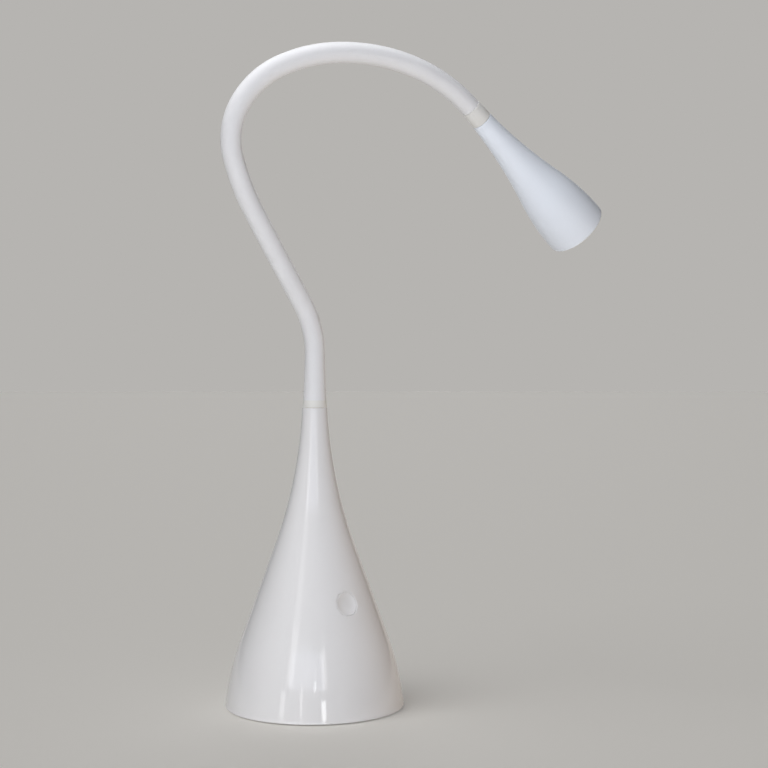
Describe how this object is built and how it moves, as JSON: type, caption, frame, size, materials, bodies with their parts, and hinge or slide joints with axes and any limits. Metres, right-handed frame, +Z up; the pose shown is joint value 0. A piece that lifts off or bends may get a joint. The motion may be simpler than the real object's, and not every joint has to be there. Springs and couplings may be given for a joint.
{
  "type": "gooseneck desk lamp",
  "caption": "White desk lamp with a trumpet-shaped weighted base, a round push button, a sleeved gooseneck and a flared head.",
  "frame": {"origin": "centre of the base on the plane that it rests on", "axes": "+Z up, the push button faces -Y, the power socket faces +Y"},
  "size_m": [0.2752, 0.1396, 0.4376],
  "materials": {
    "gloss_abs": "gloss",
    "satin_abs": "satin",
    "silicone": "matte",
    "cream_tpu": "matte",
    "black_abs": "matte",
    "eva_pad": "matte",
    "cast_iron": "rough",
    "spring_steel": "satin",
    "zinc_steel": "satin",
    "brass": "satin",
    "green_board": "gloss",
    "components": "matte",
    "lead_jacket": "matte",
    "wire_jackets": "matte",
    "aluminium": "satin",
    "white_board": "gloss",
    "phosphor": "matte",
    "diffuser": "frosted"
  },
  "bodies": {
    "base": {"base_shell": "gloss_abs", "base_cover": "black_abs", "ballast": "cast_iron", "foot_pad": "eva_pad", "cover_screws": "zinc_steel", "button_spring": "spring_steel", "tact_switch": "black_abs", "control_board": "green_board", "board_components": "components", "board_screws": "zinc_steel", "dc_jack": "black_abs", "jack_nut": "zinc_steel", "power_leads": "wire_jackets", "base_nipple": "brass", "base_washer": "zinc_steel", "base_nut": "brass", "base_ferrule": "cream_tpu", "gooseneck_sleeve_1": "silicone", "gooseneck_coil_1": "spring_steel", "lamp_lead_1": "lead_jacket"},
    "button": {"button_cap": "gloss_abs"},
    "neck_2": {"gooseneck_sleeve_2": "silicone", "gooseneck_coil_2": "spring_steel", "lamp_lead_2": "lead_jacket"},
    "neck_3": {"gooseneck_sleeve_3": "silicone", "gooseneck_coil_3": "spring_steel", "lamp_lead_3": "lead_jacket"},
    "neck_4": {"gooseneck_sleeve_4": "silicone", "gooseneck_coil_4": "spring_steel", "lamp_lead_4": "lead_jacket"},
    "neck_5": {"gooseneck_sleeve_5": "silicone", "gooseneck_coil_5": "spring_steel", "lamp_lead_5": "lead_jacket"},
    "neck_6": {"gooseneck_sleeve_6": "silicone", "gooseneck_coil_6": "spring_steel", "lamp_lead_6": "lead_jacket"},
    "neck_7": {"gooseneck_sleeve_7": "silicone", "gooseneck_coil_7": "spring_steel", "lamp_lead_7": "lead_jacket"},
    "neck_8": {"gooseneck_sleeve_8": "silicone", "gooseneck_coil_8": "spring_steel", "lamp_lead_8": "lead_jacket"},
    "neck_9": {"gooseneck_sleeve_9": "silicone", "gooseneck_coil_9": "spring_steel", "lamp_lead_9": "lead_jacket"},
    "neck_10": {"gooseneck_sleeve_10": "silicone", "gooseneck_coil_10": "spring_steel", "lamp_lead_10": "lead_jacket"},
    "head": {"gooseneck_sleeve_11": "silicone", "gooseneck_coil_11": "spring_steel", "lamp_lead_11": "lead_jacket", "head_ferrule": "cream_tpu", "head_nipple": "brass", "head_shell": "satin_abs", "heat_sink": "aluminium", "led_board": "white_board", "led_emitters": "phosphor", "led_board_screws": "zinc_steel", "lens": "diffuser", "lens_bezel": "satin_abs"}
  },
  "joints": [
    {"name": "neck_bend_1", "type": "hinge", "parent": "base", "child": "neck_2", "pos_m": [0, 0, 0.236], "axis": [0, -1, 0], "range_deg": [-25, 25]},
    {"name": "neck_swing_1", "type": "hinge", "parent": "neck_2", "child": "neck_3", "pos_m": [-0.01058, -0.0013, 0.2698], "axis": [0.813, 0.0998, 0.5736], "range_deg": [-25, 25]},
    {"name": "neck_bend_2", "type": "hinge", "parent": "neck_3", "child": "neck_4", "pos_m": [-0.03107, -0.00381, 0.29929], "axis": [-0.0362, 0.9975, 0.06], "range_deg": [-25, 25]},
    {"name": "neck_swing_2", "type": "hinge", "parent": "neck_4", "child": "neck_5", "pos_m": [-0.05131, -0.00637, 0.32896], "axis": [0.8304, -0.1075, 0.5467], "range_deg": [-25, 25]},
    {"name": "neck_bend_3", "type": "hinge", "parent": "neck_5", "child": "neck_6", "pos_m": [-0.06778, -0.00978, 0.3607], "axis": [0.1364, 0.9749, 0.1757], "range_deg": [-25, 15]},
    {"name": "neck_swing_3", "type": "hinge", "parent": "neck_6", "child": "neck_7", "pos_m": [-0.06682, -0.01731, 0.39491], "axis": [-0.8876, 0.1054, 0.4484], "range_deg": [-25, 25]},
    {"name": "neck_bend_4", "type": "hinge", "parent": "neck_7", "child": "neck_8", "pos_m": [-0.04385, -0.02871, 0.41938], "axis": [0.293, 0.9419, 0.1641], "range_deg": [-25, 15]},
    {"name": "neck_swing_4", "type": "hinge", "parent": "neck_8", "child": "neck_9", "pos_m": [-0.01149, -0.04001, 0.42977], "axis": [0.1856, 0.1969, -0.9627], "range_deg": [-25, 25]},
    {"name": "neck_bend_5", "type": "hinge", "parent": "neck_9", "child": "neck_10", "pos_m": [0.02328, -0.04895, 0.42978], "axis": [0.2368, 0.9219, 0.3067], "range_deg": [-25, 25]},
    {"name": "neck_swing_5", "type": "hinge", "parent": "neck_10", "child": "head", "pos_m": [0.05749, -0.05479, 0.42065], "axis": [0.3197, -0.356, 0.8781], "range_deg": [-25, 25]},
    {"name": "button_press", "type": "slide", "parent": "base", "child": "button", "axis": [0, 0.9397, -0.342], "range_m": [0, 0.0008], "stiffness_N_per_m": 1200, "springref_m": -0.0004}
  ]
}
